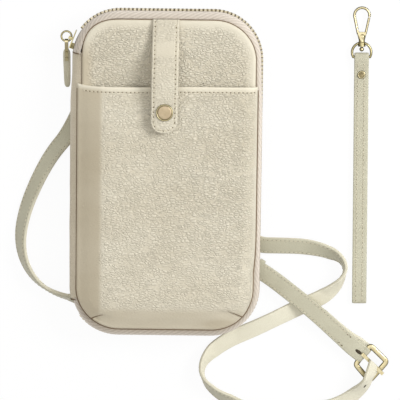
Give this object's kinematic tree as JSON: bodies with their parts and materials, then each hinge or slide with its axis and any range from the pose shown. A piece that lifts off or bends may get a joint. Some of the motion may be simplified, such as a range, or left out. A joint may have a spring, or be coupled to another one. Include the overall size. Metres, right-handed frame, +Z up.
{
  "type": "phone pouch",
  "caption": "Soft leather phone pouch with zip round its edge, open front pocket, snap tab, buckled shoulder strap and a clip-on wrist strap.",
  "frame": {"origin": "on the floor under the middle of the pouch, which lies on its back", "axes": "+X to the pouch's right, +Y to its top, +Z up out of its front"},
  "size_m": [0.2247, 0.2466, 0.0398],
  "materials": {
    "pouch_leather": "pebbled, matt",
    "strap_leather": "fine grain, matt",
    "lining": "plain weave",
    "zip_tape": "twill",
    "teeth_brass": "satin",
    "hardware_brass": "pale gold, polished",
    "snap_brass": "pale gold, matt"
  },
  "bodies": {
    "back": {"back_panel": "pouch_leather", "back_lining": "lining", "back_tape": "zip_tape", "back_teeth": "teeth_brass", "spine": "pouch_leather", "tape_ends": "zip_tape", "anchor_tab_left": "strap_leather", "anchor_tab_right": "strap_leather", "square_ring_left": "hardware_brass", "square_ring_right": "hardware_brass", "strap_fold_left": "strap_leather", "strap_fold_right": "strap_leather", "strap_buckle": "strap_leather", "strap_holes": "strap_leather", "strap_tail": "strap_leather", "strap_keeper": "strap_leather", "buckle_fold": "strap_leather", "buckle_frame": "hardware_brass"},
    "cover": {"front_panel": "pouch_leather", "front_lining": "lining", "front_tape": "zip_tape", "front_teeth": "teeth_brass", "front_pocket": "pouch_leather", "snap_stud": "hardware_brass", "snap_post": "hardware_brass"},
    "tab": {"closure_tab": "pouch_leather", "snap_cap": "snap_brass", "snap_socket": "hardware_brass"},
    "slider": {"slider_body": "hardware_brass"},
    "pull_ring": {"pull_ring": "hardware_brass"},
    "pull": {"pull_link": "hardware_brass", "pull_tab": "strap_leather", "pull_rivets": "hardware_brass"},
    "prong": {"buckle_prong": "hardware_brass"},
    "wrist": {"wrist_strap": "strap_leather", "wrist_rivet": "hardware_brass"},
    "clasp_loop": {"clasp_loop": "hardware_brass"},
    "clasp": {"clasp_hook": "hardware_brass", "gate_pin": "hardware_brass"},
    "gate": {"clasp_gate": "hardware_brass"}
  },
  "joints": [
    {"name": "cover_hinge", "type": "hinge", "parent": "back", "child": "cover", "pos_m": [-0.053, 0, 0.0238], "axis": [0, -1, 0], "range_deg": [0, 110]},
    {"name": "tab_hinge", "type": "hinge", "parent": "cover", "child": "tab", "pos_m": [-0.0006, 0.0882, 0.0283], "axis": [-1, 0, 0], "range_deg": [0, 140]},
    {"name": "slider_travel", "type": "hinge", "parent": "back", "child": "slider", "pos_m": [-0.027, 0.067, 0.0148], "axis": [0, 0, -1], "range_deg": [0, 55], "deforming": ["back_teeth", "front_teeth"]},
    {"name": "pull_ring_swing", "type": "hinge", "parent": "slider", "child": "pull_ring", "pos_m": [-0.05558, 0.0782, 0.0148], "axis": [0.3649, 0.9311, 0], "range_deg": [0, 50]},
    {"name": "pull_tab_swing", "type": "hinge", "parent": "pull_ring", "child": "pull", "pos_m": [-0.05833, 0.07633, 0.0148], "axis": [1, 0, 0], "range_deg": [-110, 0]},
    {"name": "prong_hinge", "type": "hinge", "parent": "back", "child": "prong", "pos_m": [0.1184, -0.1086, 0.0046], "axis": [-0.6947, -0.7193, 0], "range_deg": [0, 70]},
    {"name": "wrist_lift", "type": "slide", "parent": "back", "child": "wrist", "axis": [0, 0, 1], "range_m": [0, 0.05]},
    {"name": "loop_swing", "type": "hinge", "parent": "wrist", "child": "clasp_loop", "pos_m": [0.1139, 0.0683, 0.00265], "axis": [0.9999, 0.0113, 0], "range_deg": [0, 80]},
    {"name": "clasp_swivel", "type": "hinge", "parent": "clasp_loop", "child": "clasp", "pos_m": [0.11381, 0.0759, 0.00265], "axis": [-0.0113, 0.9999, 0], "continuous": true},
    {"name": "gate_hinge", "type": "hinge", "parent": "clasp", "child": "gate", "pos_m": [0.1159, 0.08182, 0.00265], "axis": [0, 0, 1], "range_deg": [0, 20], "stiffness_Nm_per_rad": 0.002, "springref_deg": -17.19}
  ]
}
